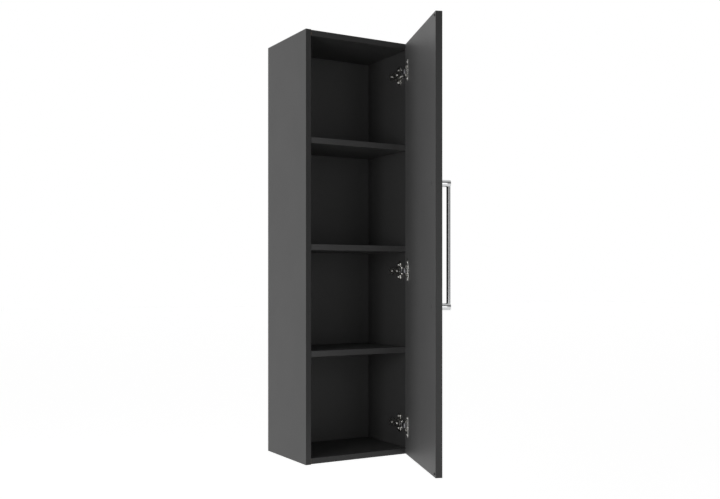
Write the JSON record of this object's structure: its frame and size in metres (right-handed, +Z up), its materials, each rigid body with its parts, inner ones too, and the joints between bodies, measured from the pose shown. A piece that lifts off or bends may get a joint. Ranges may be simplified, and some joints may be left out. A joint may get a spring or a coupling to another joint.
{
  "type": "wall cabinet",
  "caption": "Tall narrow wall-hung bathroom cabinet with shelves behind a full-height side-hinged door, with concealed cup hinges and a straight bar handle.",
  "frame": {"origin": "centre of the hanging rail's rear face, on the wall plane", "axes": "+Z up, +Y into the wall, +X to the right seen from the front, so the front faces -Y"},
  "size_m": [0.35, 0.5861, 1.2],
  "materials": {
    "board": "matt anthracite melamine-faced board",
    "back": "matt anthracite thin fibreboard",
    "steel": "nickel plated",
    "link": "zinc plated",
    "chrome": "polished chrome",
    "cover": "matt",
    "bumper": "soft dark rubber"
  },
  "bodies": {
    "carcass": {"side_panel_left": "board", "side_panel_right": "board", "bottom_panel": "board", "top_panel": "board", "back_panel": "back", "shelf_lower": "board", "shelf_middle": "board", "shelf_upper": "board", "hanging_rail": "board", "hanger_plate_left": "steel", "hanger_screw_left_outer": "steel", "hanger_screw_left_inner": "steel", "hanger_plate_right": "steel", "hanger_screw_right_outer": "steel", "hanger_screw_right_inner": "steel", "lower_hinge_plate": "steel", "lower_hinge_arm": "steel", "lower_lock_screw": "steel", "lower_adjust_screw": "steel", "lower_plate_screw_top": "steel", "lower_plate_screw_bottom": "steel", "middle_hinge_plate": "steel", "middle_hinge_arm": "steel", "middle_lock_screw": "steel", "middle_adjust_screw": "steel", "middle_plate_screw_top": "steel", "middle_plate_screw_bottom": "steel", "upper_hinge_plate": "steel", "upper_hinge_arm": "steel", "upper_lock_screw": "steel", "upper_adjust_screw": "steel", "upper_plate_screw_top": "steel", "upper_plate_screw_bottom": "steel"},
    "door": {"door_panel": "board", "handle_bar": "chrome", "handle_post_lower": "chrome", "handle_post_upper": "chrome", "handle_screw_lower": "steel", "handle_screw_upper": "steel", "screw_cover_lower": "cover", "screw_cover_upper": "cover", "door_bumper_lower": "bumper", "door_bumper_upper": "bumper", "lower_hinge_cup": "steel", "lower_cup_screw_top": "steel", "lower_cup_screw_bottom": "steel", "middle_hinge_cup": "steel", "middle_cup_screw_top": "steel", "middle_cup_screw_bottom": "steel", "upper_hinge_cup": "steel", "upper_cup_screw_top": "steel", "upper_cup_screw_bottom": "steel"},
    "hinge_links": {"lower_outer_link": "link", "lower_inner_link": "link", "middle_outer_link": "link", "middle_inner_link": "link", "upper_outer_link": "link", "upper_inner_link": "link"}
  },
  "joints": [
    {"name": "door_swing", "type": "hinge", "parent": "carcass", "child": "door", "pos_m": [0.1613, -0.274, 0], "axis": [0, 0, 1], "range_deg": [-70, 25]},
    {"name": "link_fold", "type": "hinge", "parent": "door", "child": "hinge_links", "pos_m": [0.14689, -0.26886, 0], "axis": [0, 0, 1], "range_deg": [-33, 91.5]}
  ],
  "couplings": [
    {"joint": "link_fold", "follows": "door_swing", "ratio": -1.3}
  ]
}
